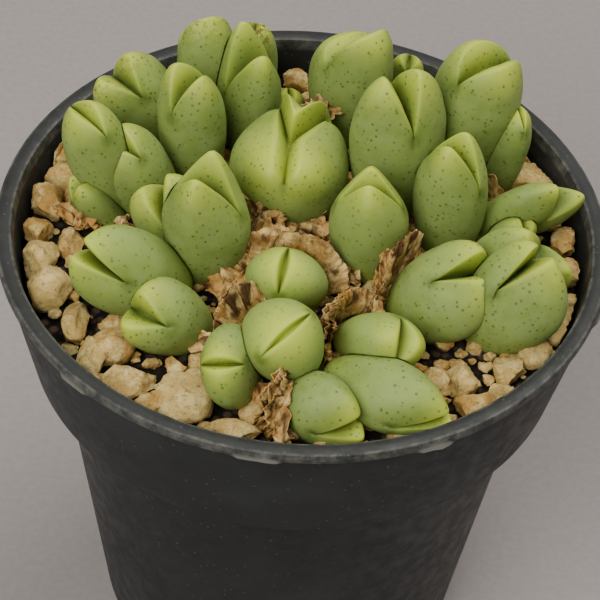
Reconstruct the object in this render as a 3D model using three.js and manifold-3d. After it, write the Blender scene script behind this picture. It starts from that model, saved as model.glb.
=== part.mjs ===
import * as THREE from "three";
import { mergeVertices } from "three/addons/utils/BufferGeometryUtils.js";
import Module from "manifold-3d";

// A clump of conophytum in a round nursery pot. Millimetres, +Z up.
// The origin is the centre of the pot's base, and the photograph looks along +Y.

// Driving dimensions of the pot
const POT_HEIGHT = 92;
const RIM_RADIUS = 52.5;
const RIM_DEPTH = 2;
const COLLAR_TOP_RADIUS = 51.9;
const COLLAR_DROP = 25;
const COLLAR_FOOT_RADIUS = 47.4;
const BODY_TOP_RADIUS = 42.9;
const BODY_TAPER = 0.127;
const WALL = 1.5;
const MOUTH_RADIUS = 49.5;
const POT_SIDES = 40;
const DRAIN_RADIUS = 4;
const DRAIN_CIRCLE = 18;
const DRAIN_COUNT = 4;
const DRAIN_SIDES = 12;
const RIM_BEVEL = 0.4;
const BASE_BEVEL = 1;

// Levels inside the pot
const SOIL_TOP = 80;
const BED_TOP = 84.8;
const FOOT_LEVEL = 86.5;
const HEAD_ROOT = 4.5;

// Room left round a piece, and round a head for the heads that press on it
const FIT = 0.3;
const HEAD_FIT = 0.42;

// The form that all heads share, in shares of a head's own sizes: the foot's radius, how far out
// the cleft's ends lie, how far down its middle lies next to its ends, the handles of the outer wall's
// curve as [reach, level], the brow of the curve that runs from the ridge down into the cleft, and how
// quickly the ridges part from the ends of the cleft on
const FORM = {
  footShare: 0.3,
  cleftReach: 0.9,
  floorShare: 0.85,
  lowHandle: [0.98, 0.05],
  highHandle: [1.25, 0.86],
  browReach: 0.62,
  browDrop: 0.16,
  parting: 1.5,
};

// Head mesh: columns for each lobe, rows up the outer wall, rows down into the cleft
const SKIN = { columns: 6, wallRows: [0, 0.33, 0.62, 0.88, 1], cleftRows: [0.32, 0.7, 1] };
// A coarser skin, set further out, for the room that stones and soil leave round a head
const ROOM = { columns: 4, wallRows: [0, 0.38, 0.72, 1], cleftRows: [1], sag: 0.7 };

// The error that an angle's share of its lobe may carry
const ROUNDING = 1e-9;
// Points closer than this are one point
const MERGE_DISTANCE = 1e-4;
// How far a face may shift when the slivers of a cut are taken out
const SLACK = { head: 0.07, sheath: 0.1, rootstock: 0.05, gravel: 0.2, soil: 0.02 };

const wasm = await Module();
wasm.setup();

// Seeded random numbers, the same on every run
function seeded(seed) {
  let state = seed;
  return () => {
    state = (state * 1664525 + 1013904223) % 4294967296;
    return state / 4294967296;
  };
}

// A copy of a geometry that holds positions only, with its shared points merged
function mergedSkin(geometry) {
  const bare = geometry.clone();
  bare.deleteAttribute("normal");
  bare.deleteAttribute("uv");
  return mergeVertices(bare, MERGE_DISTANCE);
}

// Turns a closed three.js geometry into a solid that can be joined and cut
function solidOf(geometry) {
  const merged = mergedSkin(geometry);
  const mesh = new wasm.Mesh({
    numProp: 3,
    vertProperties: Float32Array.from(merged.attributes.position.array),
    triVerts: Uint32Array.from(merged.index.array),
  });
  return new wasm.Manifold(mesh);
}

// Gives a solid back as a three.js geometry
function geometryOf(solid) {
  const mesh = solid.getMesh();
  const geometry = new THREE.BufferGeometry();
  geometry.setAttribute("position", new THREE.BufferAttribute(mesh.vertProperties, 3));
  geometry.setIndex(new THREE.BufferAttribute(mesh.triVerts, 1));
  geometry.computeVertexNormals();
  return geometry;
}

// A closed geometry from shared points and triangles
function closedGeometry(points, triangles) {
  const geometry = new THREE.BufferGeometry();
  const numbers = points.flatMap((point) => point.toArray());
  geometry.setAttribute("position", new THREE.Float32BufferAttribute(numbers, 3));
  geometry.setIndex(triangles.flat());
  return geometry;
}

// The same shape with its skin moved out, used to leave room round a neighbour
function grown(geometry, distance) {
  const skin = mergedSkin(geometry);
  skin.computeVertexNormals();
  const place = skin.attributes.position;
  const normal = skin.attributes.normal;
  for (let i = 0; i < place.count; i += 1) {
    place.setXYZ(
      i,
      place.getX(i) + normal.getX(i) * distance,
      place.getY(i) + normal.getY(i) * distance,
      place.getZ(i) + normal.getZ(i) * distance,
    );
  }
  return skin;
}

// The largest whole piece left after a cut, without the slivers that the cut makes
function mainPiece(solid, slack) {
  const pieces = solid.simplify(slack).decompose();
  return pieces.reduce((best, piece) => (piece.volume() > best.volume() ? piece : best));
}

// Turns a section of [radius, height] points round the upright axis
function lathe(profile, sides) {
  const section = profile.map(([radius, height]) => new THREE.Vector2(radius, height));
  return new THREE.LatheGeometry(section, sides).rotateX(Math.PI / 2);
}

// Pot: one wall thickness, turned from its section, with drain holes through the base
function potSolid() {
  const shoulder = POT_HEIGHT - COLLAR_DROP;
  const baseRadius = BODY_TOP_RADIUS - shoulder * BODY_TAPER;
  const floorRadius = baseRadius - WALL + WALL * BODY_TAPER;
  const profile = [
    [0, 0],
    [baseRadius - BASE_BEVEL, 0],
    [baseRadius, BASE_BEVEL],
    [BODY_TOP_RADIUS, shoulder],
    [COLLAR_FOOT_RADIUS, shoulder],
    [COLLAR_TOP_RADIUS, POT_HEIGHT - RIM_DEPTH],
    [RIM_RADIUS, POT_HEIGHT - RIM_DEPTH],
    [RIM_RADIUS, POT_HEIGHT - RIM_BEVEL],
    [RIM_RADIUS - RIM_BEVEL, POT_HEIGHT],
    [MOUTH_RADIUS, POT_HEIGHT],
    [COLLAR_FOOT_RADIUS - WALL, shoulder + WALL],
    [BODY_TOP_RADIUS - WALL, shoulder + WALL],
    [floorRadius, WALL],
    [0, WALL],
  ];
  let pot = solidOf(lathe(profile, POT_SIDES));
  const drain = new THREE.CylinderGeometry(DRAIN_RADIUS, DRAIN_RADIUS, 4 * WALL, DRAIN_SIDES);
  drain.rotateX(Math.PI / 2);
  pot = pot.subtract(solidOf(drain));
  for (let i = 0; i < DRAIN_COUNT; i += 1) {
    const turn = (2 * Math.PI * i) / DRAIN_COUNT + Math.PI / 4;
    const hole = drain.clone().translate(DRAIN_CIRCLE * Math.cos(turn), DRAIN_CIRCLE * Math.sin(turn), 0);
    pot = pot.subtract(solidOf(hole));
  }
  return pot;
}

// A plant body: lobes round a cleft. Local z runs up its axis and the first lobe points along x.
// size is [width across the lobes, thickness along the cleft, height above its foot].
// arms are the bearings of the cleft's arms, tips is the distance between the lobe tips, notch how far
// the cleft's ends lie below them, floor how far its middle does and peak how pointed a lobe is.
// lift raises the first lobe over the others, shift moves the cleft along x, and skew moves the
// tip of each lobe along it. u runs from -0.5 to 0.5 across a lobe.
function headShape(head) {
  const { size, arms = [-90, 90], tips = 6, notch = 7, peak = 1.5, lift = 0, shift = 0 } = head;
  const { floor = FORM.floorShare * notch, skew = [0, 0] } = head;
  const [width, thickness, height] = size;
  const bearings = arms.map((arm) => THREE.MathUtils.degToRad(arm));
  const lobes = arms.length;
  const spread = bearings.map((arm, lobe) => {
    const gap = bearings[(lobe + 1) % lobes] - arm;
    return gap > 0 ? gap : gap + 2 * Math.PI;
  });
  const facing = bearings.map((arm, lobe) => arm + spread[lobe] / 2);
  const footRadius = Math.min(width, thickness) * FORM.footShare;
  const belly = (angle) => [(width / 2) * Math.cos(angle), (thickness / 2) * Math.sin(angle)];
  const squeeze = Math.sqrt(1 - ((2 * shift) / width) ** 2);
  const endReach = FORM.cleftReach * squeeze * Math.hypot(...belly(bearings[0]));
  const notchLevel = height - notch;
  const floorLevel = height - floor;

  const ridge = (lobe, u) => {
    const bend = u - skew[lobe] * (1 - 4 * u ** 2);
    const arch = (1 - Math.abs(Math.sin(Math.PI * bend)) ** peak) ** (1 / peak);
    const top = height + (lobe === 0 ? lift : 0);
    const half = spread[lobe] / 2;
    const across = endReach * Math.sin(half) * Math.sin(Math.PI * u);
    const along = Math.abs(across) / Math.tan(half) + (tips / 2) * arch ** FORM.parting;
    const way = facing[lobe];
    return new THREE.Vector3(
      along * Math.cos(way) - across * Math.sin(way) + shift,
      along * Math.sin(way) + across * Math.cos(way),
      notchLevel + (top - notchLevel) * arch,
    );
  };
  const cleftLine = (lobe, u) => {
    const way = facing[lobe] + (Math.sign(u) * spread[lobe]) / 2;
    const reach = endReach * Math.abs(2 * u);
    const level = floorLevel + (notchLevel - floorLevel) * (2 * u) ** 2;
    return new THREE.Vector3(reach * Math.cos(way) + shift, reach * Math.sin(way), level);
  };
  const wall = (lobe, u, row) => {
    const angle = facing[lobe] + u * spread[lobe];
    const top = ridge(lobe, u);
    const [x, y] = belly(angle);
    const [lowReach, lowLevel] = FORM.lowHandle;
    const [highReach, highLevel] = FORM.highHandle;
    const foot = new THREE.Vector3(footRadius * Math.cos(angle), footRadius * Math.sin(angle), -HEAD_ROOT);
    const low = new THREE.Vector3(x * lowReach, y * lowReach, height * lowLevel);
    const high = new THREE.Vector3(x * highReach, y * highReach, top.z * highLevel);
    return new THREE.CubicBezierCurve3(foot, low, high, top).getPoint(row);
  };
  const cheek = (lobe, u, row) => {
    const top = ridge(lobe, u);
    const bottom = cleftLine(lobe, u);
    const brow = top.clone().lerp(bottom, FORM.browReach);
    brow.z = THREE.MathUtils.lerp(top.z, bottom.z, FORM.browDrop);
    return new THREE.QuadraticBezierCurve3(top, brow, bottom).getPoint(row);
  };
  // The wall at a bearing about the axis
  const wallAt = (bearing, row) => {
    const offsets = facing.map((way, lobe) => {
      const turn = bearing - way;
      return Math.atan2(Math.sin(turn), Math.cos(turn)) / spread[lobe];
    });
    const lobe = offsets.findIndex((u) => Math.abs(u) <= 0.5 + ROUNDING);
    return wall(lobe, offsets[lobe], row);
  };
  return { lobes, cleftLine, wall, cheek, wallAt };
}

function headGeometry(head, { columns, wallRows, cleftRows }) {
  const { lobes, cleftLine, wall, cheek } = headShape(head);
  const points = [];
  const triangles = [];
  const index = new Map();
  const vertex = (key, place) => {
    if (!index.has(key)) {
      index.set(key, points.length);
      points.push(place());
    }
    return index.get(key);
  };

  // A vertex on the seam between two lobes belongs to both
  const wallVertex = (lobe, column, step) => {
    const [owner, place] = column === columns ? [(lobe + 1) % lobes, 0] : [lobe, column];
    const u = place / columns - 0.5;
    return vertex(`wall ${owner} ${place} ${step}`, () => wall(owner, u, wallRows[step]));
  };
  const cheekVertex = (lobe, column, step) => {
    if (step < 0 || column === 0 || column === columns) {
      return wallVertex(lobe, column, wallRows.length - 1);
    }
    const u = column / columns - 0.5;
    if (step < cleftRows.length - 1) {
      return vertex(`cheek ${lobe} ${column} ${step}`, () => cheek(lobe, u, cleftRows[step]));
    }
    const arm = (lobe + (u > 0 ? 1 : 0)) % lobes;
    const key = u === 0 ? "floor" : `floor ${arm} ${Math.abs(u).toFixed(4)}`;
    return vertex(key, () => cleftLine(lobe, u));
  };
  const quad = (...loop) => {
    const corners = loop.filter((corner, i) => loop.indexOf(corner) === i);
    for (let i = 2; i < corners.length; i += 1) {
      triangles.push([corners[0], corners[i - 1], corners[i]]);
    }
  };
  const strip = (pick, lobe, column, step) =>
    quad(
      pick(lobe, column, step),
      pick(lobe, column + 1, step),
      pick(lobe, column + 1, step + 1),
      pick(lobe, column, step + 1),
    );

  for (let lobe = 0; lobe < lobes; lobe += 1) {
    for (let column = 0; column < columns; column += 1) {
      for (let step = 0; step < wallRows.length - 1; step += 1) {
        strip(wallVertex, lobe, column, step);
      }
      for (let step = -1; step < cleftRows.length - 1; step += 1) {
        strip(cheekVertex, lobe, column, step);
      }
      quad(wallVertex(0, 0, 0), wallVertex(lobe, column + 1, 0), wallVertex(lobe, column, 0));
    }
  }
  return closedGeometry(points, triangles);
}

// Stands a head on its foot, turned about its own axis and leaning towards a bearing, 0 being +X
function placeHead(geometry, { foot, lean, turn }) {
  const bearing = THREE.MathUtils.degToRad(lean[0]);
  const tilt = THREE.MathUtils.degToRad(lean[1]);
  const axis = new THREE.Vector3(
    Math.sin(tilt) * Math.cos(bearing),
    Math.sin(tilt) * Math.sin(bearing),
    Math.cos(tilt),
  );
  const up = new THREE.Vector3(0, 0, 1);
  const rotation = new THREE.Quaternion().setFromUnitVectors(up, axis);
  rotation.multiply(new THREE.Quaternion().setFromAxisAngle(up, THREE.MathUtils.degToRad(turn)));
  const place = new THREE.Vector3(...foot, FOOT_LEVEL);
  return geometry.applyMatrix4(new THREE.Matrix4().compose(place, rotation, new THREE.Vector3(1, 1, 1)));
}

// The heads, front ones first: a head further down the list gives way to those above it.
// foot is its place in the bed, lean the bearing and the angle of its axis from upright.
const HEADS = {
  head_01: {
    foot: [32.8, -14.9], lean: [-19, 32], size: [18.5, 13.4, 18.4],
    turn: -35, tips: 3.6, notch: 9.3, lift: 1, shift: -4,
  },
  head_02: {
    foot: [20.3, -13], lean: [-18, 44], size: [17.5, 13.5, 16.9],
    turn: -57, tips: 5.5, notch: 8, shift: -2,
  },
  head_03: {
    foot: [9.5, -32], lean: [-28, 71], size: [13, 12.4, 19],
    turn: -30, tips: 2, notch: 9, peak: 1.4, shift: 2.4,
  },
  head_04: {
    foot: [11, -22], lean: [-46, 50], size: [13.5, 9.5, 14],
    turn: 6, tips: 5, notch: 4, floor: 4,
  },
  head_05: {
    foot: [2, -36.2], lean: [-36, 72], size: [13.5, 11, 12.4],
    turn: -36, tips: 4.8, notch: 6.6, peak: 1.3, shift: 1.2,
  },
  head_06: {
    foot: [-1.9, -25.6], lean: [-93, 30], size: [16.8, 12.8, 17.5],
    turn: -44, tips: 1.8, notch: 2.2, peak: 1.8, shift: 1.3,
  },
  head_07: {
    foot: [-8, -29.8], lean: [-115, 44], size: [16.2, 8.6, 13.5],
    turn: -92, tips: 2.6, notch: 3.6, peak: 1.8,
  },
  head_08: {
    foot: [-18.4, -21.2], lean: [-152, 45], size: [13.5, 11, 12.6],
    turn: -128, tips: 6.5, notch: 5, shift: 1.2,
  },
  head_09: {
    foot: [-1.7, -11.7], lean: [-95, 24], size: [16.4, 10, 12.5],
    turn: -8, tips: 2.4, notch: 3.4, peak: 1.8, shift: -0.6,
  },
  head_10: { foot: [-23, -13], lean: [-161, 49], size: [17, 12, 19], turn: -148, tips: 3.8, notch: 9 },
  head_11: {
    foot: [-15.8, -5], lean: [-126, 5], size: [15, 14.5, 23.5],
    turn: 72, tips: 8, notch: 10.5, peak: 1.15,
  },
  head_12: {
    foot: [11.5, -1.4], lean: [-137, 4], size: [13.5, 13, 19.7],
    turn: 88, tips: 4.7, notch: 8, peak: 1.15,
  },
  head_13: {
    foot: [-3.2, 11.9], lean: [-100, 6], size: [22.4, 19.5, 16.6],
    turn: -2, arms: [51, 105, -90], tips: 5, notch: 4, peak: 3, lift: 2.2, skew: [0, 0.2, -0.2],
  },
  head_14: {
    foot: [24.8, 6], lean: [-90, 3], size: [12.6, 13, 23],
    turn: 54, tips: 5, notch: 10, peak: 1.35,
  },
  head_15: {
    foot: [32.4, -5.8], lean: [-26, 37], size: [17, 8.2, 16],
    turn: -18, tips: 10, notch: 4.5,
  },
  head_16: {
    foot: [34.5, 3.8], lean: [-26, 30], size: [8, 6, 8.5],
    turn: 24, tips: 3, notch: 2.5, floor: 2.5,
  },
  head_17: {
    foot: [34, 9.2], lean: [-14, 46], size: [16, 7.6, 16.5],
    turn: 24, tips: 8, notch: 8, peak: 1.6,
  },
  head_18: {
    foot: [-34.6, 4.6], lean: [-170, 35], size: [8.4, 6.6, 9.2],
    turn: -58, tips: 4, notch: 3.8,
  },
  head_19: {
    foot: [-20.7, 0.5], lean: [-165, 22], size: [14.6, 11, 12.8],
    turn: 0, tips: 5.8, notch: 6.5, peak: 1.5, lift: 2,
  },
  head_20: {
    foot: [-33.6, 9.5], lean: [-153, 14], size: [12, 12.3, 22],
    turn: 42, tips: 4, notch: 3.8,
  },
  head_21: {
    foot: [-26.7, 9.5], lean: [-158, 24], size: [13, 11.5, 17],
    turn: 49, tips: 4.3, notch: 3.4, lift: 0.8,
  },
  head_22: {
    foot: [-20.2, 18.5], lean: [-132, 5], size: [13.5, 11.5, 23.3],
    turn: -35, tips: 5.7, notch: 7.5,
  },
  head_23: { foot: [-26.8, 27], lean: [-161, 29], size: [16, 11, 19], turn: -138, tips: 7, notch: 6.6 },
  head_24: {
    foot: [15.6, 15.5], lean: [-117, 4], size: [18.7, 14, 28.6],
    turn: 26, tips: 6.4, notch: 10.6,
  },
  head_25: {
    foot: [-11.5, 28.5], lean: [-81, 4], size: [14, 11, 24],
    turn: -61, tips: 8.6, notch: 13.5, lift: -1.5,
  },
  head_26: {
    foot: [-18.3, 34], lean: [-132, 6], size: [12, 11, 18.5],
    turn: -70, tips: 4, notch: 5, peak: 3, lift: 4.5, shift: -1.8,
  },
  head_27: {
    foot: [33.7, 20.5], lean: [-19, 9], size: [8, 8, 17.5],
    turn: 17, tips: 1.4, notch: 2, floor: 2,
  },
  head_28: {
    foot: [25.8, 24.6], lean: [-20, 10], size: [17.5, 14.5, 27.5],
    turn: -50, tips: 7, notch: 6, peak: 2.1, skew: [0, 0.06],
  },
  head_29: {
    foot: [5.9, 33], lean: [-55, 4], size: [17.5, 13, 18.6],
    turn: -50, tips: 7, notch: 2.8, lift: 5.9, peak: 3.2,
  },
  head_30: {
    foot: [-5, 32.5], lean: [-57, 13], size: [7, 6, 8],
    turn: 10, tips: 2, notch: 2, floor: 2,
  },
  head_31: { foot: [-11, 38], lean: [-132, 3], size: [9.5, 8.5, 17.6], turn: -5, tips: 3.5, notch: 3 },
  head_32: {
    foot: [16.3, 42], lean: [-52, 8], size: [7, 5.5, 10],
    turn: -5, tips: 3.6, notch: 1.6, floor: 2,
  },
};

// Dried skins of last year's bodies: torn papery bands that hug a head's foot.
// Each runs from one compass bearing to another and up to a share of the head's wall; flare opens its top.
const SHEATHS = {
  sheath_09: { round: "head_09", from: 10, to: 190, top: 0.86, flare: 1.4, seed: 2 },
  sheath_04: { round: "head_04", from: 80, to: 250, top: 0.74, flare: 1.4, seed: 4 },
  sheath_02: { round: "head_02", from: 85, to: 225, top: 0.6, flare: 1.3, seed: 5 },
  sheath_11: { round: "head_11", from: -55, to: 45, top: 0.72, flare: 2.2, seed: 3 },
  sheath_13: { round: "head_13", from: -140, to: -30, top: 0.46, flare: 2, seed: 6 },
  sheath_06: { round: "head_06", from: 100, to: 190, top: 0.66, flare: 2, seed: 7 },
  sheath_05: { round: "head_05", from: 120, to: 250, top: 0.55, flare: 1.4, seed: 8 },
  sheath_08: { round: "head_08", from: -130, to: -20, top: 0.36, flare: 0.8, seed: 9 },
  sheath_18: { round: "head_18", from: 160, to: 290, top: 0.5, flare: 1.8, seed: 10 },
  sheath_14: { round: "head_14", from: -55, to: 45, top: 0.36, flare: 1.6, seed: 11 },
  sheath_12: { round: "head_12", from: -70, to: 30, top: 0.32, flare: 1.4, seed: 12 },
  sheath_29: { round: "head_29", from: -125, to: -35, top: 0.36, flare: 1.4, seed: 13 },
};
const SHEATH_WALL = 0.7;
const SHEATH_BOTTOM = 0.1;
const SHEATH_STEPS = 9;
const SHEATH_ROWS = [0, 0.5, 1];
const SHEATH_CREASE = 1.1;
const SHEATH_CLEAR = FIT + 0.1;
const SHEATH_SPARE = FIT + 0.6;
const SPARE_ALONG = 5;
const SPARE_UP = 0.04;

// With room set it is the plain band of space that the skin needs, creases and all
function sheathGeometry({ round, from, to, top, flare, seed }, room = false) {
  const head = HEADS[round];
  const shape = headShape(head);
  const spare = room ? SHEATH_SPARE : 0;
  const random = seeded(seed);
  const crease = Array.from({ length: SHEATH_STEPS + 1 }, () => random());
  const torn = Array.from({ length: SHEATH_STEPS + 1 }, () => random());
  const points = [];
  const triangles = [];
  const outward = new THREE.Vector3();
  for (let side = 0; side < 2; side += 1) {
    for (let step = 0; step <= SHEATH_STEPS; step += 1) {
      const share = step / SHEATH_STEPS;
      const beyond = room ? SPARE_ALONG * (2 * share - 1) : 0;
      const bearing = THREE.MathUtils.degToRad(from + (to - from) * share + beyond - head.turn);
      const tear = 0.75 + 0.25 * torn[step];
      const reach = top * (0.55 + 0.45 * Math.sin(Math.PI * share)) * tear;
      SHEATH_ROWS.forEach((row) => {
        const above = room ? SPARE_UP * (2 * row - 1) : 0;
        const level = SHEATH_BOTTOM + (reach - SHEATH_BOTTOM) * row + above;
        const place = shape.wallAt(bearing, level);
        outward.set(place.x, place.y, 0).normalize();
        const skin = SHEATH_CLEAR + (flare + crease[step] * SHEATH_CREASE) * row + side * SHEATH_WALL;
        const space = side * (SHEATH_CLEAR + (flare + SHEATH_CREASE) * row + SHEATH_WALL + spare);
        place.addScaledVector(outward, room ? space : skin);
        points.push(place);
      });
    }
  }
  const steps = SHEATH_STEPS;
  const rows = SHEATH_ROWS.length;
  const at = (side, step, row) => (side * (steps + 1) + step) * rows + row;
  const quad = (a, b, c, d) => triangles.push([a, b, c], [a, c, d]);
  const last = rows - 1;
  for (let step = 0; step < steps; step += 1) {
    for (let row = 0; row < last; row += 1) {
      quad(at(1, step, row), at(1, step + 1, row), at(1, step + 1, row + 1), at(1, step, row + 1));
      quad(at(0, step + 1, row), at(0, step, row), at(0, step, row + 1), at(0, step + 1, row + 1));
    }
    quad(at(0, step, 0), at(0, step + 1, 0), at(1, step + 1, 0), at(1, step, 0));
    quad(at(1, step, last), at(1, step + 1, last), at(0, step + 1, last), at(0, step, last));
  }
  for (let row = 0; row < last; row += 1) {
    quad(at(0, 0, row), at(1, 0, row), at(1, 0, row + 1), at(0, 0, row + 1));
    quad(at(1, steps, row), at(0, steps, row), at(0, steps, row + 1), at(1, steps, row + 1));
  }
  return placeHead(closedGeometry(points, triangles), head);
}

// Rootstock: a tap root that parts into limbs, each ending in a woody knot under a group of heads
const TAP_ROOT_FOOT = 24;
const TAP_ROOT_HEAD = 56;
const TAP_RADII = [1.5, 6];
const LIMB_ENDS = [[0, -25], [-22, -12], [-24, 18], [2, 12], [24, 24], [26, -8]];
const LIMB_RADII = [4, 3];
const KNOT_RADIUS = 5;
const KNOT_LEVEL = SOIL_TOP - 0.7 * KNOT_RADIUS;
const LIMB_START = TAP_ROOT_HEAD - 3;
const ROOT_FIT = FIT + 0.2;

function rod(from, to, startRadius, endRadius, sides) {
  const start = new THREE.Vector3(...from);
  const end = new THREE.Vector3(...to);
  const along = end.clone().sub(start);
  const geometry = new THREE.CylinderGeometry(endRadius, startRadius, along.length(), sides);
  const up = new THREE.Vector3(0, 1, 0);
  const turn = new THREE.Quaternion().setFromUnitVectors(up, along.clone().normalize());
  const middle = start.add(end).multiplyScalar(0.5);
  return geometry.applyMatrix4(new THREE.Matrix4().compose(middle, turn, new THREE.Vector3(1, 1, 1)));
}

function rootstockSolid(extra = 0) {
  const branch = (from, to, [startRadius, endRadius], sides) =>
    solidOf(rod(from, to, startRadius + extra, endRadius + extra, sides));
  let wood = branch([0, 0, TAP_ROOT_FOOT - extra], [0, 0, TAP_ROOT_HEAD + extra], TAP_RADII, 8);
  for (const [x, y] of LIMB_ENDS) {
    const knot = new THREE.IcosahedronGeometry(KNOT_RADIUS + extra, 0).translate(x, y, KNOT_LEVEL);
    const limb = branch([0, 0, LIMB_START], [x, y, KNOT_LEVEL], LIMB_RADII, 6);
    wood = wood.add(limb).add(solidOf(knot));
  }
  return wood;
}

// Top dressing: the stones that show, as [x, y, length, breadth], then a seeded rule for the others
const STONES = [
  [-45, 20, 7, 6], [-43, 13, 7, 6.5], [-45, 6, 7.5, 7], [-46, -1, 6, 6.5], [-44, -8, 7.5, 8],
  [-40, -3, 5.5, 5.5], [-42, -15, 8, 8], [-36, -8, 5, 5.5], [-37, -22, 5, 10], [-33, -30, 5, 9.5],
  [-30, -26, 8, 8], [-26, -34, 8.5, 7], [-22, -39, 5.5, 6], [-17, -37, 9, 11], [-9, -44, 9, 5.5],
  [-5, -37, 5.5, 10], [24, -29, 5.5, 5.5], [28, -28, 6.5, 7], [30, -34, 6.5, 6], [34, -31, 5.5, 5.5],
  [36, -25, 5.5, 7.5], [40, -21, 6.5, 6], [43, -15, 6, 6.5], [46, -9, 5, 7], [46, 6, 5.5, 7],
  [46, -1, 5, 6], [38, 27, 5, 5], [40, 21, 10, 7.5], [-3, 45, 6, 5], [-28, 37, 5, 5],
  [-35, 31, 5, 5],
];
const STONE_SPACING = 9;
const STONE_FIELD = 45.5;
const STONE_CLEAR = 5.2;

function stoneSolid([x, y, length, breadth], random) {
  const lump = mergedSkin(new THREE.IcosahedronGeometry(1, 0));
  const place = lump.attributes.position;
  for (let i = 0; i < place.count; i += 1) {
    const push = 0.85 + 0.4 * random();
    place.setXYZ(i, place.getX(i) * push, place.getY(i) * push, place.getZ(i) * push);
  }
  lump.rotateX(2 * Math.PI * random()).rotateZ(2 * Math.PI * random());
  const depth = 0.5 * Math.min(length, breadth) * (0.8 + 0.2 * random());
  lump.scale(length / 2, breadth / 2, depth);
  lump.translate(x, y, BED_TOP + 0.3 * depth);
  return solidOf(lump);
}

// The bed under the stones and the room that it may fill inside the pot
function plug(bottom, top, clear) {
  const wallAt = (z) => {
    const shoulder = POT_HEIGHT - COLLAR_DROP;
    const share = (z - shoulder - WALL) / (COLLAR_DROP - WALL);
    return COLLAR_FOOT_RADIUS - WALL + (MOUTH_RADIUS - COLLAR_FOOT_RADIUS + WALL) * share - clear;
  };
  return lathe([[0, bottom], [wallAt(bottom), bottom], [wallAt(top), top], [0, top]], POT_SIDES);
}

// True under a head: near the line from its foot to the point below its top
function coveredBy({ foot, lean, size }, x, y) {
  const bearing = THREE.MathUtils.degToRad(lean[0]);
  const reach = 0.7 * size[2] * Math.sin(THREE.MathUtils.degToRad(lean[1]));
  const start = new THREE.Vector2(...foot);
  const line = new THREE.Vector2(Math.cos(bearing), Math.sin(bearing)).multiplyScalar(reach);
  const point = new THREE.Vector2(x, y).sub(start);
  const share = THREE.MathUtils.clamp(point.dot(line) / Math.max(line.lengthSq(), 1e-6), 0, 1);
  return point.distanceTo(line.multiplyScalar(share)) < STONE_CLEAR;
}

function gravelSolid() {
  const random = seeded(11);
  let bed = solidOf(plug(SOIL_TOP + FIT, BED_TOP, FIT));
  const stones = [...STONES];
  const rows = Math.ceil(STONE_FIELD / STONE_SPACING);
  for (let row = -rows; row <= rows; row += 1) {
    for (let column = -rows; column <= rows; column += 1) {
      const x = (column + 0.5 * (row & 1) + 0.5 * (random() - 0.5)) * STONE_SPACING;
      const y = (row * 0.87 + 0.5 * (random() - 0.5)) * STONE_SPACING;
      const size = 6 + 2.5 * random();
      const crowded = stones.some((stone) => Math.hypot(stone[0] - x, stone[1] - y) < STONE_CLEAR);
      const covered = Object.values(HEADS).some((head) => coveredBy(head, x, y));
      if (Math.hypot(x, y) < STONE_FIELD && !crowded && !covered) {
        stones.push([x, y, size, size * (0.75 + 0.3 * random())]);
      }
    }
  }
  for (const stone of stones) {
    bed = bed.add(stoneSolid(stone, random));
  }
  return bed.intersect(solidOf(plug(SOIL_TOP + FIT, POT_HEIGHT, FIT)));
}

// Potting mix: fills the pot up to the bed, clear of its wall, its base and the shoulder of the collar
const NECK_DEPTH = 2;

function soilSolid() {
  const shoulder = POT_HEIGHT - COLLAR_DROP + WALL + FIT;
  const baseRadius = BODY_TOP_RADIUS - (POT_HEIGHT - COLLAR_DROP) * BODY_TAPER;
  const inner = (z) => baseRadius + z * BODY_TAPER - WALL - FIT;
  const neck = inner(shoulder - NECK_DEPTH);
  const profile = [
    [0, WALL + FIT],
    [inner(0), WALL + FIT],
    [neck, shoulder - NECK_DEPTH],
    [neck, shoulder + NECK_DEPTH],
    [0, shoulder + NECK_DEPTH],
  ];
  return solidOf(lathe(profile, POT_SIDES)).add(solidOf(plug(shoulder, SOIL_TOP, FIT)));
}

const FINISH = {
  pot: { color: 0x24262a, roughness: 0.55, metalness: 0 },
  head: { color: 0x7f9176, roughness: 0.5, metalness: 0 },
  sheath: { color: 0xb29a77, roughness: 0.9, metalness: 0 },
  stone: { color: 0xb7a68c, roughness: 0.95, metalness: 0 },
  soil: { color: 0x2b211a, roughness: 1, metalness: 0 },
  root: { color: 0x5d4630, roughness: 0.9, metalness: 0 },
};

const plant = new THREE.Group();

function addNode(name, solid, finish) {
  const mesh = new THREE.Mesh(geometryOf(solid), new THREE.MeshStandardMaterial(FINISH[finish]));
  mesh.name = name;
  plant.add(mesh);
}

// Each head is cut back by the room that the heads before it take, and each sheath by all the heads
let headRoom = null;
let bedRoom = null;
const joined = (whole, piece) => (whole ? whole.add(piece) : piece);
for (const [name, head] of Object.entries(HEADS)) {
  const whole = placeHead(headGeometry(head, SKIN), head);
  const solid = solidOf(whole);
  addNode(name, headRoom ? mainPiece(solid.subtract(headRoom), SLACK.head) : solid, "head");
  headRoom = joined(headRoom, solid.add(solidOf(grown(whole, HEAD_FIT))));
  bedRoom = joined(bedRoom, solidOf(grown(placeHead(headGeometry(head, ROOM), head), FIT + ROOM.sag)));
}
for (const [name, sheath] of Object.entries(SHEATHS)) {
  addNode(name, mainPiece(solidOf(sheathGeometry(sheath)).subtract(headRoom), SLACK.sheath), "sheath");
  const room = solidOf(sheathGeometry(sheath, true));
  headRoom = headRoom.add(room);
  bedRoom = bedRoom.add(room);
}
bedRoom = bedRoom.add(rootstockSolid(ROOT_FIT));

addNode("rootstock", mainPiece(rootstockSolid().subtract(headRoom), SLACK.rootstock), "root");
addNode("gravel", mainPiece(gravelSolid().subtract(bedRoom), SLACK.gravel), "stone");
addNode("soil", mainPiece(soilSolid().subtract(bedRoom), SLACK.soil), "soil");
addNode("pot", potSolid(), "pot");

export default plant;
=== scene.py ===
import math
import random
import bpy
from mathutils import Euler, Matrix, Quaternion, Vector, noise


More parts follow.
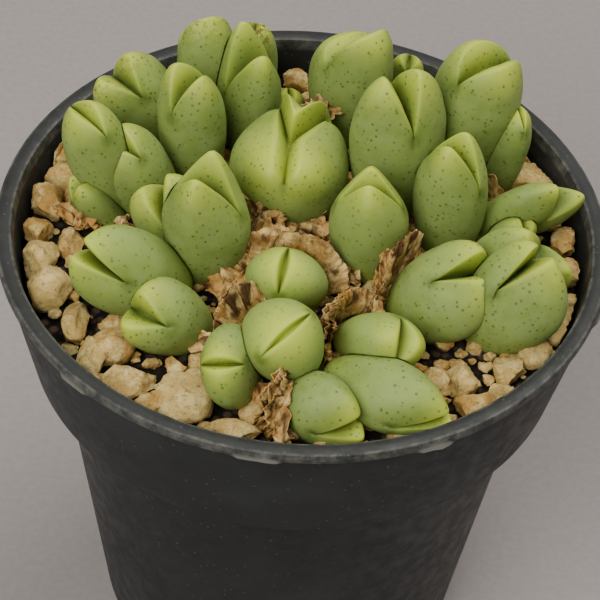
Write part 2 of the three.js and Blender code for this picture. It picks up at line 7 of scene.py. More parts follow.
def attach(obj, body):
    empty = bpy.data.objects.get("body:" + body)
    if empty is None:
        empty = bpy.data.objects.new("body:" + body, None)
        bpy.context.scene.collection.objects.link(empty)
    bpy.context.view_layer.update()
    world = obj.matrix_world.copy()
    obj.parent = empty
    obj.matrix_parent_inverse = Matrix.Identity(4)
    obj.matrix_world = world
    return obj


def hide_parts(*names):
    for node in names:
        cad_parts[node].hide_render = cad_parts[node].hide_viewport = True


# A clump of conophytum in a round nursery pot, in metres, +Z up. The origin is the centre of the
# pot's base, and the photograph looks along +Y.
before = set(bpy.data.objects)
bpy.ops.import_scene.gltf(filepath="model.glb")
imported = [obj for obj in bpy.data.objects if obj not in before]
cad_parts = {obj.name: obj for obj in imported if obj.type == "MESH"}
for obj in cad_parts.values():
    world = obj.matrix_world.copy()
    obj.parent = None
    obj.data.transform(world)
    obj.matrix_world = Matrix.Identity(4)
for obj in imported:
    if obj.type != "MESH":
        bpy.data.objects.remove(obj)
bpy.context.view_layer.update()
MM = 0.001

# The pot
# A nursery pot of charcoal polypropylene, injection moulded in one piece with a thin wall, a deep
# sloping collar and a flat rim. Its section is extruded ring by ring from the drain hole in the
# middle, and four more holes are cut round it.
POT_HEIGHT = 92 * MM
RIM_RADIUS = 52.5 * MM
RIM_DEPTH = 2 * MM
COLLAR_TOP_RADIUS = 51.9 * MM
COLLAR_FOOT_RADIUS = 47.4 * MM
SHOULDER = 67 * MM
BODY_TOP_RADIUS = 42.9 * MM
BASE_RADIUS = 34.4 * MM
MOUTH_RADIUS = 49.5 * MM
WALL = 1.5 * MM
DRAIN_RADIUS = 4 * MM
DRAIN_CIRCLE = 18 * MM
DRAIN_COUNT = 4
DRAIN_STEPS = 48
POT_STEPS = 224
# Where mould flash stands out from the rim, as bearings and half widths in degrees
RIM_FLASH = [(-95, 4), (-131, 3), (-63, 3), (-164, 2), (141, 3), (-18, 2)]
FLASH_REACH = 0.8 * MM


def pick(points):
    """Deselects all in the mesh being edited, then selects the points that the test picks."""
    bpy.ops.mesh.select_all(action="DESELECT")
    mesh = bpy.context.object.data
    bpy.ops.object.mode_set(mode="OBJECT")
    for vertex in mesh.vertices:
        vertex.select = points(vertex.co)
    bpy.ops.object.mode_set(mode="EDIT")


def start_piece(name):
    """Names the primitive that was just added, and returns it."""
    piece = bpy.context.object
    piece.name = name
    piece.data.name = name
    return piece


def apply_modifier(piece, kind, **settings):
    """Adds one modifier with its settings and applies it."""
    bpy.ops.object.select_all(action="DESELECT")
    bpy.context.view_layer.objects.active = piece
    piece.select_set(True)
    modifier = piece.modifiers.new(kind.title(), kind)
    for key, value in settings.items():
        setattr(modifier, key, value)
    bpy.ops.object.modifier_apply(modifier=modifier.name)


def smooth_shading(piece, degrees):
    """Shades a piece smooth, with an edge where two faces meet more sharply than that."""
    bpy.ops.object.select_all(action="DESELECT")
    bpy.context.view_layer.objects.active = piece
    piece.select_set(True)
    bpy.ops.object.shade_smooth_by_angle(angle=math.radians(degrees))


bpy.ops.object.select_all(action="DESELECT")
bpy.ops.mesh.primitive_circle_add(vertices=POT_STEPS, radius=DRAIN_RADIUS, location=(0, 0, 0))
pot = start_piece("nursery_pot")
section = [
    (BASE_RADIUS - 2 * MM, 0),
    (BASE_RADIUS - 0.9 * MM, 0.15 * MM),
    (BASE_RADIUS - 0.3 * MM, 0.5 * MM),
    (BASE_RADIUS, 1.3 * MM),
    (BODY_TOP_RADIUS - 0.2 * MM, SHOULDER - 0.8 * MM),
    (BODY_TOP_RADIUS, SHOULDER - 0.2 * MM),
    (BODY_TOP_RADIUS + 0.6 * MM, SHOULDER),
    (COLLAR_FOOT_RADIUS - 0.5 * MM, SHOULDER),
    (COLLAR_FOOT_RADIUS - 0.1 * MM, SHOULDER + 0.2 * MM),
    (COLLAR_FOOT_RADIUS, SHOULDER + 0.7 * MM),
    (COLLAR_TOP_RADIUS - 0.6 * MM, POT_HEIGHT - RIM_DEPTH - 2.6 * MM),
    (COLLAR_TOP_RADIUS - 0.45 * MM, POT_HEIGHT - RIM_DEPTH - 0.5 * MM),
    (COLLAR_TOP_RADIUS, POT_HEIGHT - RIM_DEPTH),
    (RIM_RADIUS - 0.15 * MM, POT_HEIGHT - RIM_DEPTH + 0.1 * MM),
    (RIM_RADIUS, POT_HEIGHT - RIM_DEPTH + 0.4 * MM),
    (RIM_RADIUS, POT_HEIGHT - 0.6 * MM),
    (RIM_RADIUS - 0.15 * MM, POT_HEIGHT - 0.2 * MM),
    (RIM_RADIUS - 0.5 * MM, POT_HEIGHT),
    (MOUTH_RADIUS + 0.7 * MM, POT_HEIGHT - 0.1 * MM),
    (MOUTH_RADIUS + 0.2 * MM, POT_HEIGHT - 0.35 * MM),
    (MOUTH_RADIUS, POT_HEIGHT - 0.9 * MM),
    (COLLAR_FOOT_RADIUS - WALL, SHOULDER + WALL),
    (BODY_TOP_RADIUS - WALL, SHOULDER + WALL),
    (BASE_RADIUS - WALL, WALL + 1 * MM),
    (BASE_RADIUS - 2 * WALL, WALL),
    (DRAIN_RADIUS, WALL),
]
bpy.ops.object.mode_set(mode="EDIT")
bpy.ops.mesh.select_all(action="SELECT")
ring_radius, ring_level = DRAIN_RADIUS, 0
for radius, level in section:
    bpy.ops.mesh.extrude_region_move(TRANSFORM_OT_translate={"value": (0, 0, level - ring_level)})
    ratio = radius / ring_radius
    bpy.ops.transform.resize(value=(ratio, ratio, 1), center_override=(0, 0, 0))
    ring_radius, ring_level = radius, level
pick(lambda co: math.hypot(co.x, co.y) < DRAIN_RADIUS + 0.1 * MM)
bpy.ops.mesh.bridge_edge_loops()
bpy.ops.mesh.select_all(action="SELECT")
bpy.ops.mesh.normals_make_consistent(inside=False)
bpy.ops.object.mode_set(mode="OBJECT")
for hole in range(DRAIN_COUNT):
    turn = math.radians(45 + 360 / DRAIN_COUNT * hole)
    bpy.ops.object.select_all(action="DESELECT")
    bpy.ops.mesh.primitive_cylinder_add(
        vertices=DRAIN_STEPS,
        radius=DRAIN_RADIUS,
        depth=4 * WALL,
        location=(DRAIN_CIRCLE * math.cos(turn), DRAIN_CIRCLE * math.sin(turn), 0),
    )
    drill = bpy.context.object
    apply_modifier(pot, "BOOLEAN", object=drill, solver="EXACT")
    bpy.data.objects.remove(drill)

# The flash is drawn out of the two rings at the rim's lower edge
for vertex in pot.data.vertices:
    bearing = math.degrees(math.atan2(vertex.co.y, vertex.co.x))
    reach = math.hypot(vertex.co.x, vertex.co.y)
    above_edge = vertex.co.z - (POT_HEIGHT - RIM_DEPTH)
    if reach > RIM_RADIUS - 0.2 * MM and 0 < above_edge < 0.5 * MM:
        for middle, half in RIM_FLASH:
            if abs(bearing - middle) < half:
                ragged = 0.7 + 0.5 * noise.noise(Vector((bearing * 0.9, middle, 0)))
                vertex.co.x *= 1 + FLASH_REACH * ragged / reach
                vertex.co.y *= 1 + FLASH_REACH * ragged / reach
smooth_shading(pot, 35)


def new_material(name, **sockets):
    """A node material with a Principled BSDF whose named sockets are set."""
    material = bpy.data.materials.new(name)
    material.use_nodes = True
    shader = material.node_tree.nodes["Principled BSDF"]
    for socket, value in sockets.items():
        shader.inputs[socket.replace("_", " ")].default_value = value
    return material, material.node_tree, shader


def node(tree, kind, links=None, **settings):
    """Adds a shader node, sets its properties and links or sets its inputs."""
    made = tree.nodes.new(kind)
    for key, value in settings.items():
        setattr(made, key, value)
    for socket, value in (links or {}).items():
        if isinstance(value, bpy.types.NodeSocket):
            tree.links.new(value, made.inputs[socket])
        else:
            made.inputs[socket].default_value = value
    return made


def place(tree):
    """The place on the piece that a pattern is read at."""
    return node(tree, "ShaderNodeTexCoord").outputs["Object"]


def start_group(name, inputs, outputs):
    """Starts an effect that several materials use, with named inputs and outputs."""
    group = bpy.data.node_groups.new(name, "ShaderNodeTree")
    for socket, value in inputs.items():
        made = group.interface.new_socket(socket, in_out="INPUT", socket_type="NodeSocketFloat")
        made.default_value = value
    for socket, kind in outputs.items():
        group.interface.new_socket(socket, in_out="OUTPUT", socket_type=kind)
    return group, group.nodes.new("NodeGroupInput").outputs, group.nodes.new("NodeGroupOutput").inputs


def effect(tree, group, **inputs):
    """Uses one of the shared effects in a material, and returns its outputs."""
    made = node(tree, "ShaderNodeGroup", node_tree=group)
    for socket, value in inputs.items():
        socket = made.inputs[socket.capitalize()]
        if isinstance(value, bpy.types.NodeSocket):
            tree.links.new(value, socket)
        else:
            socket.default_value = value
    return made.outputs


def ramp(tree, value, low, high, start=0.0, end=1.0):
    """Maps value from the range low to high onto start to end, smoothly and clamped."""
    made = node(
        tree,
        "ShaderNodeMapRange",
        {"Value": value, "From Min": low, "From Max": high, "To Min": start, "To Max": end},
        interpolation_type="SMOOTHSTEP",
    )
    return made.outputs["Result"]


def blend(tree, share, first, second):
    """Mixes two colours by a share from 0 to 1."""
    made = node(tree, "ShaderNodeMix", data_type="RGBA")
    for socket, value in ((0, share), (6, first), (7, second)):
        if isinstance(value, bpy.types.NodeSocket):
            tree.links.new(value, made.inputs[socket])
        else:
            made.inputs[socket].default_value = value
    return made.outputs[2]


def math_node(tree, operation, first, second):
    """Works out one number from two."""
    made = node(tree, "ShaderNodeMath", operation=operation)
    for socket, value in ((0, first), (1, second)):
        if isinstance(value, bpy.types.NodeSocket):
            tree.links.new(value, made.inputs[socket])
        else:
            made.inputs[socket].default_value = value
    return made.outputs[0]


# Soft patches of any size, as a mask and as bare noise
mottle, given, result = start_group(
    "mottle",
    {"Grain": 2 * MM, "Detail": 4, "Roughness": 0.6, "Low": 0.4, "High": 0.6},
    {"Mask": "NodeSocketFloat", "Raw": "NodeSocketFloat"},
)
density = math_node(mottle, "DIVIDE", 1.0, given["Grain"])
patches = node(
    mottle,
    "ShaderNodeTexNoise",
    {"Vector": place(mottle), "Scale": density, "Detail": given["Detail"], "Roughness": given["Roughness"]},
)
mask = ramp(mottle, patches.outputs["Fac"], given["Low"], given["High"])
mottle.links.new(mask, result["Mask"])
mottle.links.new(patches.outputs["Fac"], result["Raw"])

# Round flecks scattered at a spacing, with a chance for each
flecks, given, result = start_group(
    "flecks",
    {"Spacing": 2 * MM, "Radius": 0.2, "Blur": 0.08},
    {"Mask": "NodeSocketFloat", "Chance": "NodeSocketFloat"},
)
cells = node(
    flecks,
    "ShaderNodeTexVoronoi",
    {
        "Vector": place(flecks),
        "Scale": math_node(flecks, "DIVIDE", 1.0, given["Spacing"]),
        "Randomness": 0.95,
    },
)
rim_of_fleck = math_node(flecks, "ADD", given["Radius"], given["Blur"])
mask = ramp(flecks, cells.outputs["Distance"], given["Radius"], rim_of_fleck, 1, 0)
flecks.links.new(mask, result["Mask"])
chance = node(flecks, "ShaderNodeSeparateColor", {"Color": cells.outputs["Color"]})
flecks.links.new(chance.outputs["Red"], result["Chance"])

# A fine raised grain
grain_relief, given, result = start_group(
    "grain_relief",
    {"Grain": 1 * MM, "Roughness": 0.6, "Depth": 0.05 * MM},
    {"Normal": "NodeSocketVector"},
)
bumps = node(
    grain_relief,
    "ShaderNodeTexNoise",
    {
        "Vector": place(grain_relief),
        "Scale": math_node(grain_relief, "DIVIDE", 1.0, given["Grain"]),
        "Detail": 7.0,
        "Roughness": given["Roughness"],
    },
)
bump = node(
    grain_relief,
    "ShaderNodeBump",
    {"Height": bumps.outputs["Fac"], "Distance": given["Depth"], "Strength": 1.0},
)
grain_relief.links.new(bump.outputs["Normal"], result["Normal"])


def roughen(tree, shader, **grain):
    """Gives a material the raised grain."""
    tree.links.new(effect(tree, grain_relief, **grain)["Normal"], shader.inputs["Normal"])


CHARCOAL = (0.0105, 0.0122, 0.0125, 1)
POT_DUST = (0.055, 0.062, 0.062, 1)
RIM_WORN = (0.02, 0.0205, 0.0175, 1)
RIM_EDGE_HIGHLIGHT = (0.095, 0.096, 0.082, 1)
FLASH_PALE = (0.11, 0.11, 0.092, 1)
plastic, tree, shader = new_material("pot_plastic", Roughness=0.5, Specular_IOR_Level=0.28)
specks = effect(tree, flecks, spacing=1.1 * MM, radius=0.1, blur=0.12)
seldom = ramp(tree, specks["Chance"], 0.72, 0.8)
haze = effect(tree, mottle, grain=24 * MM, detail=6.0, roughness=0.7, low=0.42, high=0.75)["Mask"]
dust = math_node(tree, "MULTIPLY", haze, 0.24)
dust = math_node(tree, "MAXIMUM", math_node(tree, "MULTIPLY", specks["Mask"], seldom), dust)
spot = node(tree, "ShaderNodeSeparateXYZ", {"Vector": place(tree)})
rim_foot = POT_HEIGHT - RIM_DEPTH
on_rim = ramp(tree, spot.outputs["Z"], rim_foot - 0.6 * MM, rim_foot + 0.2 * MM)
scuffs = effect(tree, mottle, grain=2.4 * MM, detail=6.0, roughness=0.7, low=0.3, high=0.75)["Mask"]
flat = node(tree, "ShaderNodeCombineXYZ", {"X": spot.outputs["X"], "Y": spot.outputs["Y"]})
length = node(tree, "ShaderNodeVectorMath", {0: flat.outputs["Vector"]}, operation="LENGTH")
radius = length.outputs["Value"]
# Painted highlight: lighter lines along the rim's two rounded edges, broken up in patches
outer_line = ramp(tree, radius, RIM_RADIUS - 0.7 * MM, RIM_RADIUS - 0.25 * MM)
inner_line = ramp(tree, radius, MOUTH_RADIUS + 0.35 * MM, MOUTH_RADIUS + 0.8 * MM, 1, 0)
edge_highlight = math_node(tree, "MULTIPLY", math_node(tree, "MAXIMUM", outer_line, inner_line), on_rim)
colour = blend(tree, dust, CHARCOAL, POT_DUST)
colour = blend(tree, math_node(tree, "MULTIPLY", on_rim, scuffs), colour, RIM_WORN)
colour = blend(tree, math_node(tree, "MULTIPLY", edge_highlight, scuffs), colour, RIM_EDGE_HIGHLIGHT)
past_rim = ramp(tree, radius, RIM_RADIUS + 0.1 * MM, RIM_RADIUS + 0.4 * MM)
colour = blend(tree, past_rim, colour, FLASH_PALE)
tree.links.new(colour, shader.inputs["Base Color"])
gloss = effect(tree, mottle, grain=3 * MM, detail=5.0)["Raw"]
tree.links.new(ramp(tree, gloss, 0.3, 0.7, 0.42, 0.6), shader.inputs["Roughness"])
roughen(tree, shader, grain=0.7 * MM, depth=0.03 * MM)
pot.data.materials.append(plastic)
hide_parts("pot")
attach(pot, "root")

# The potting mix
# A light mineral mix with bark, poured round the roots up to just under the stones. It hardly
# shows, so the solid keeps its shape and gets the look of damp dark grains, with painted shade
# near-black between them.
mix, tree, shader = new_material("potting_mix", Roughness=0.95, Specular_IOR_Level=0.2)
grains = effect(tree, flecks, spacing=1.6 * MM, radius=0.3, blur=0.3)
colour = blend(tree, grains["Chance"], (0.012, 0.008, 0.006, 1), (0.075, 0.05, 0.033, 1))
# Painted shade: near-black between the grains, for the shade in the gaps among them
colour = blend(tree, grains["Mask"], (0.008, 0.006, 0.005, 1), colour)
tree.links.new(colour, shader.inputs["Base Color"])
roughen(tree, shader, grain=1.2 * MM, depth=0.5 * MM)
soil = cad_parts["soil"]
soil.data.materials.clear()
soil.data.materials.append(mix)

# The rootstock
# The short woody stem under the clump: a tap root that parts into limbs with a knot under each
# group of heads. It stands in the mix, so the solid keeps its shape under a fissured bark.
bark, tree, shader = new_material("root_bark", Roughness=0.9, Specular_IOR_Level=0.2)
fissures = effect(tree, mottle, grain=2.5 * MM, detail=6.0, roughness=0.7, low=0.35, high=0.7)["Mask"]
colour = blend(tree, fissures, (0.03, 0.018, 0.01, 1), (0.17, 0.1, 0.055, 1))
tree.links.new(colour, shader.inputs["Base Color"])
roughen(tree, shader, grain=2.5 * MM, depth=0.6 * MM)
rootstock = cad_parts["rootstock"]
rootstock.data.materials.clear()
rootstock.data.materials.append(bark)

# The heads
# Each is a pair of fleshy leaves grown together, or three, with a cleft between their lobes. The
# skin is waxy and grey-green with darker dots, and yellow-green along the lobes' edges, and the
# cleft and its notches are painted a darker green as the shade down in them. A ball is drawn out
# into each one, and where heads press together the rear one gives way.
FOOT_LEVEL = 86.5 * MM
HEAD_ROOT = 4.5
FOOT_SHARE = 0.3
CLEFT_REACH = 0.9
FLOOR_SHARE = 0.85
LOW_HANDLE = (0.98, 0.05)
HIGH_HANDLE = (1.25, 0.86)
BROW_REACH = 0.62
BROW_DROP = 0.16
PARTING = 1.5
FURROW = 0.45
FURROW_WIDTH = 0.2
LOBE_COLUMNS = 16
WALL_RINGS = 20
CHEEK_RINGS = 10
PRESS_GAP = 0.22 * MM

# Front ones first. foot and size are in millimetres, lean is the bearing and tilt of the axis, and
# turn is about it. tips is how far apart the lobes' tips are, notch and floor how far below them the
# cleft's ends and its middle lie, and peak how pointed a lobe is. lift raises the first lobe, and
# shift and skew move the cleft and the tips sideways.
HEADS = {
    "01": dict(
        foot=(32.8, -14.9), lean=(-19, 32), size=(18.5, 13.4, 18.4),
        turn=-35, tips=3.6, notch=9.3, lift=1, shift=-4,
    ),
    "02": dict(
        foot=(20.3, -13), lean=(-18, 44), size=(17.5, 13.5, 16.9),
        turn=-57, tips=5.5, notch=8, shift=-2,
    ),
    "03": dict(
        foot=(9.5, -32), lean=(-28, 71), size=(13, 12.4, 19),
        turn=-30, tips=2, notch=9, peak=1.4, shift=2.4,
    ),
    "04": dict(foot=(11, -22), lean=(-46, 50), size=(13.5, 9.5, 14), turn=6, tips=5, notch=4, floor=4),
    "05": dict(
        foot=(2, -36.2), lean=(-36, 72), size=(13.5, 11, 12.4),
        turn=-36, tips=4.8, notch=6.6, peak=1.3, shift=1.2,
    ),
    "06": dict(
        foot=(-1.9, -25.6), lean=(-93, 30), size=(16.8, 12.8, 17.5),
        turn=-44, tips=1.8, notch=2.2, peak=1.8, shift=1.3,
    ),
    "07": dict(
        foot=(-8, -29.8), lean=(-115, 44), size=(16.2, 8.6, 13.5),
        turn=-92, tips=2.6, notch=3.6, peak=1.8,
    ),
    "08": dict(
        foot=(-18.4, -21.2), lean=(-152, 45), size=(13.5, 11, 12.6),
        turn=-128, tips=6.5, notch=5, shift=1.2,
    ),
    "09": dict(
        foot=(-1.7, -11.7), lean=(-95, 24), size=(16.4, 10, 12.5),
        turn=-8, tips=2.4, notch=3.4, peak=1.8, shift=-0.6,
    ),
    "10": dict(foot=(-23, -13), lean=(-161, 49), size=(17, 12, 19), turn=-148, tips=3.8, notch=9),
    "11": dict(
        foot=(-15.8, -5), lean=(-126, 5), size=(15, 14.5, 23.5),
        turn=72, tips=8, notch=10.5, peak=1.15,
    ),
    "12": dict(
        foot=(11.5, -1.4), lean=(-137, 4), size=(13.5, 13, 19.7),
        turn=88, tips=4.7, notch=8, peak=1.15,
    ),
    "13": dict(
        foot=(-3.2, 11.9), lean=(-100, 6), size=(22.4, 19.5, 16.6),
        turn=-2, arms=(51, 105, -90), tips=5, notch=4, peak=3, lift=2.2, skew=(0, 0.2, -0.2),
    ),
    "14": dict(
        foot=(24.8, 6), lean=(-90, 3), size=(12.6, 13, 23),
        turn=54, tips=5, notch=10, peak=1.35,
    ),
    "15": dict(foot=(32.4, -5.8), lean=(-26, 37), size=(17, 8.2, 16), turn=-18, tips=10, notch=4.5),
    "16": dict(
        foot=(34.5, 3.8), lean=(-26, 30), size=(8, 6, 8.5),
        turn=24, tips=3, notch=2.5, floor=2.5,
    ),
    "17": dict(
        foot=(34, 9.2), lean=(-14, 46), size=(16, 7.6, 16.5),
        turn=24, tips=8, notch=8, peak=1.6,
    ),
    "18": dict(foot=(-34.6, 4.6), lean=(-170, 35), size=(8.4, 6.6, 9.2), turn=-58, tips=4, notch=3.8),
    "19": dict(
        foot=(-20.7, 0.5), lean=(-165, 22), size=(14.6, 11, 12.8),
        turn=0, tips=5.8, notch=6.5, peak=1.5, lift=2,
    ),
    "20": dict(foot=(-33.6, 9.5), lean=(-153, 14), size=(12, 12.3, 22), turn=42, tips=4, notch=3.8),
    "21": dict(
        foot=(-26.7, 9.5), lean=(-158, 24), size=(13, 11.5, 17),
        turn=49, tips=4.3, notch=3.4, lift=0.8,
    ),
    "22": dict(
        foot=(-20.2, 18.5), lean=(-132, 5), size=(13.5, 11.5, 23.3),
        turn=-35, tips=5.7, notch=7.5,
    ),
    "23": dict(foot=(-26.8, 27), lean=(-161, 29), size=(16, 11, 19), turn=-138, tips=7, notch=6.6),
    "24": dict(foot=(15.6, 15.5), lean=(-117, 4), size=(18.7, 14, 28.6), turn=26, tips=6.4, notch=10.6),
    "25": dict(
        foot=(-11.5, 28.5), lean=(-81, 4), size=(14, 11, 24),
        turn=-61, tips=8.6, notch=13.5, lift=-1.5,
    ),
    "26": dict(
        foot=(-18.3, 34), lean=(-132, 6), size=(12, 11, 18.5),
        turn=-70, tips=4, notch=5, peak=3, lift=4.5, shift=-1.8,
    ),
    "27": dict(
        foot=(33.7, 20.5), lean=(-19, 9), size=(8, 8, 17.5),
        turn=17, tips=1.4, notch=2, floor=2,
    ),
    "28": dict(
        foot=(25.8, 24.6), lean=(-20, 10), size=(17.5, 14.5, 27.5),
        turn=-50, tips=7, notch=6, peak=2.1, skew=(0, 0.06),
    ),
    "29": dict(
        foot=(5.9, 33), lean=(-55, 4), size=(17.5, 13, 18.6),
        turn=-50, tips=7, notch=2.8, lift=5.9, peak=3.2,
    ),
    "30": dict(foot=(-5, 32.5), lean=(-57, 13), size=(7, 6, 8), turn=10, tips=2, notch=2, floor=2),
    "31": dict(foot=(-11, 38), lean=(-132, 3), size=(9.5, 8.5, 17.6), turn=-5, tips=3.5, notch=3),
    "32": dict(
        foot=(16.3, 42), lean=(-52, 8), size=(7, 5.5, 10),
        turn=-5, tips=3.6, notch=1.6, floor=2,
    ),
}

# How young a head looks: lime and hardly dotted at 1, grey-green and dotted at 0
YOUNG = {
    "04": 0.8, "06": 0.75, "09": 0.8, "10": 0.3, "12": 0.45, "13": 0.3, "15": 0.5, "17": 0.3, "19": 0.6,
}
OLD = 0.12

# Heads whose lobes are round, with how often their skin is smoothed
ROUNDED = {"04": 6, "06": 10, "07": 8, "09": 14, "16": 4}

# Heads whose tips have dried to brown cork, and how far
SCARRED = {"31": 0.95, "26": 0.5, "23": 0.35, "19": 0.25}


class LeafPair:
    """The form of one head in its own frame, in millimetres: z runs up its axis from the foot."""

    def __init__(
        self, foot, lean, size, turn, arms=(-90, 90), tips=6, notch=7, floor=None, peak=1.5,
        lift=0, shift=0, skew=(0, 0),
    ):
        self.width, self.thickness, self.height = size
        bearings = [math.radians(arm) for arm in arms]
        self.lobes = len(arms)
        self.spread = [
            (bearings[(lobe + 1) % self.lobes] - arm) % (2 * math.pi) for lobe, arm in enumerate(bearings)
        ]
        self.facing = [arm + spread / 2 for arm, spread in zip(bearings, self.spread)]
        self.turn = math.radians(turn)
        self.tips = tips
        self.peak = peak
        self.lift = lift
        self.shift = shift
        self.skew = skew
        self.notch_level = self.height - notch
        self.floor_level = self.height - (FLOOR_SHARE * notch if floor is None else floor)
        self.foot_radius = FOOT_SHARE * min(self.width, self.thickness)
        squeeze = math.sqrt(1 - (2 * shift / self.width) ** 2)
        self.end_reach = CLEFT_REACH * squeeze * math.hypot(
            self.width / 2 * math.cos(bearings[0]), self.thickness / 2 * math.sin(bearings[0])
        )
        bearing, tilt = (math.radians(angle) for angle in lean)
        axis = Vector(
            (math.sin(tilt) * math.cos(bearing), math.sin(tilt) * math.sin(bearing), math.cos(tilt))
        )
        stand = Vector((0, 0, 1)).rotation_difference(axis).to_matrix().to_4x4()
        about = Matrix.Rotation(self.turn, 4, "Z")
        spot = Matrix.Translation((foot[0] * MM, foot[1] * MM, FOOT_LEVEL))
        self.place = spot @ stand @ about @ Matrix.Scale(MM, 4)

    def ridge(self, lobe, u):
        """The edge of a lobe; u runs from -0.5 to 0.5 across it."""
        bend = u - self.skew[lobe] * (1 - 4 * u**2)
        arch = max(0.0, 1 - abs(math.sin(math.pi * bend)) ** self.peak) ** (1 / self.peak)
        top = self.height + (self.lift if lobe == 0 else 0)
        half = self.spread[lobe] / 2
        across = self.end_reach * math.sin(half) * math.sin(math.pi * u)
        along = abs(across) / math.tan(half) + self.tips / 2 * arch**PARTING
        facing = self.facing[lobe]
        return Vector(
            (
                along * math.cos(facing) - across * math.sin(facing) + self.shift,
                along * math.sin(facing) + across * math.cos(facing),
                self.notch_level + (top - self.notch_level) * arch,
            )
        )

    def cleft(self, lobe, u):
        """The bottom of the cleft, from its middle out to the notches."""
        facing = self.facing[lobe] + math.copysign(self.spread[lobe] / 2, u)
        reach = self.end_reach * abs(2 * u)
        level = self.floor_level + (self.notch_level - self.floor_level) * (2 * u) ** 2
        return Vector((reach * math.cos(facing) + self.shift, reach * math.sin(facing), level))

    def wall(self, lobe, u, row):
        """The outer skin, from the foot at row 0 up to the ridge at row 1."""
        angle = self.facing[lobe] + u * self.spread[lobe]
        top = self.ridge(lobe, u)
        x = self.width / 2 * math.cos(angle)
        y = self.thickness / 2 * math.sin(angle)
        foot = Vector((self.foot_radius * math.cos(angle), self.foot_radius * math.sin(angle), -HEAD_ROOT))
        low = Vector((x * LOW_HANDLE[0], y * LOW_HANDLE[0], self.height * LOW_HANDLE[1]))
        high = Vector((x * HIGH_HANDLE[0], y * HIGH_HANDLE[0], top.z * HIGH_HANDLE[1]))
        rest = 1 - row
        spot = foot * rest**3 + low * (3 * rest**2 * row) + high * (3 * rest * row**2) + top * row**3
        from_end = (0.5 - abs(u)) * self.spread[lobe]
        groove = FURROW * row**3 * math.exp(-((from_end / FURROW_WIDTH) ** 2))
        return spot - Vector((math.cos(angle), math.sin(angle), 0)) * groove

    def wall_at(self, bearing, row):
        """The outer skin at a bearing about the axis, in radians from +X of the pot."""
        for lobe, facing in enumerate(self.facing):
            u = math.remainder(bearing - self.turn - facing, 2 * math.pi) / self.spread[lobe]
            if abs(u) <= 0.5:
                break
        return self.wall(lobe, max(-0.5, min(0.5, u)), row)

    def cheek(self, lobe, u, row):
        """The inner face of a lobe, from the ridge at row 0 down to the cleft at row 1."""
        top = self.ridge(lobe, u)
        bottom = self.cleft(lobe, u)
        brow = top.lerp(bottom, BROW_REACH)
        brow.z = top.z + BROW_DROP * (bottom.z - top.z)
        rest = 1 - row
        return top * rest**2 + brow * (2 * rest * row) + bottom * row**2


def store(mesh, name, values):
    """Keeps one number for each point of a mesh, for its material to read."""
    mesh.attributes.new(name, "FLOAT", "POINT").data.foreach_set("value", values)


def grow_head(number, pair):
    """Draws a ball out into a head, its top pole opened into the cleft and zipped up along it."""
    rings = WALL_RINGS + CHEEK_RINGS + 1
    bpy.ops.object.select_all(action="DESELECT")
    bpy.ops.mesh.primitive_uv_sphere_add(
        segments=pair.lobes * LOBE_COLUMNS, ring_count=rings, radius=1, location=(0, 0, 0)
    )
    head = start_piece(f"leaf_pair_{number}")
    bpy.ops.object.mode_set(mode="EDIT")
    pick(lambda co: co.z > 1 - 1e-5)
    bpy.ops.mesh.delete(type="VERT")
    bpy.ops.object.mode_set(mode="OBJECT")
    sector = 2 * math.pi / pair.lobes
    marks = {"edge": [], "inner": [], "tip": [], "seam": [], "level": [], "scar": []}
    for vertex in head.data.vertices:
        angle = math.atan2(vertex.co.y, vertex.co.x) / sector
        side = round(angle)
        lobe, u = side % pair.lobes, angle - side
        ring = round((1 - math.acos(max(-1, min(1, vertex.co.z))) / math.pi) * rings)
        if ring == 0:
            vertex.co = (0, 0, -HEAD_ROOT)
        elif ring <= WALL_RINGS:
            vertex.co = pair.wall(lobe, u, ring / WALL_RINGS)
        else:
            vertex.co = pair.cheek(lobe, u, (ring - WALL_RINGS) / CHEEK_RINGS)
        crest = math.cos(math.pi * u) ** 0.5 if abs(u) < 0.5 else 0.0
        to_ridge = (vertex.co - pair.ridge(lobe, u)).length
        to_tip = (vertex.co - pair.ridge(lobe, pair.skew[lobe])).length
        to_notch = (vertex.co - pair.ridge(lobe, math.copysign(0.5, u))).length
        marks["edge"].append(crest * math.exp(-((to_ridge / 0.6) ** 2)))
        marks["inner"].append(max(0.0, (ring - WALL_RINGS) / CHEEK_RINGS))
        marks["tip"].append(math.exp(-((to_tip / (0.33 * pair.thickness)) ** 2)))
        marks["seam"].append(math.exp(-((to_notch / 1.6) ** 2)))
        marks["level"].append(min(1, ring / WALL_RINGS))
        marks["scar"].append(SCARRED.get(number, 0) * math.exp(-((to_tip / 4.5) ** 2)))
    for name, values in marks.items():
        store(head.data, name, values)
    store(head.data, "young", [YOUNG.get(number, OLD)] * len(head.data.vertices))
    head.data.transform(pair.place)
    bpy.ops.object.mode_set(mode="EDIT")
    bpy.ops.mesh.select_all(action="SELECT")
    bpy.ops.mesh.remove_doubles(threshold=0.001 * MM)
    bpy.ops.mesh.normals_make_consistent(inside=False)
    bpy.ops.object.mode_set(mode="OBJECT")
    apply_modifier(head, "SMOOTH", factor=0.5, iterations=ROUNDED.get(number, 1))
    apply_modifier(head, "SUBSURF", levels=1, render_levels=1)
    return head


def corners(piece):
    """The lowest and highest corner of a piece's box."""
    points = [Vector(corner) for corner in piece.bound_box]
    low = Vector(min(point[axis] for point in points) for axis in range(3))
    high = Vector(max(point[axis] for point in points) for axis in range(3))
    return low, high


def near(first, second):
    """True where the boxes of two pieces meet."""
    low_a, high_a = corners(first)
    low_b, high_b = corners(second)
    return all(low_a[axis] < high_b[axis] and low_b[axis] < high_a[axis] for axis in range(3))


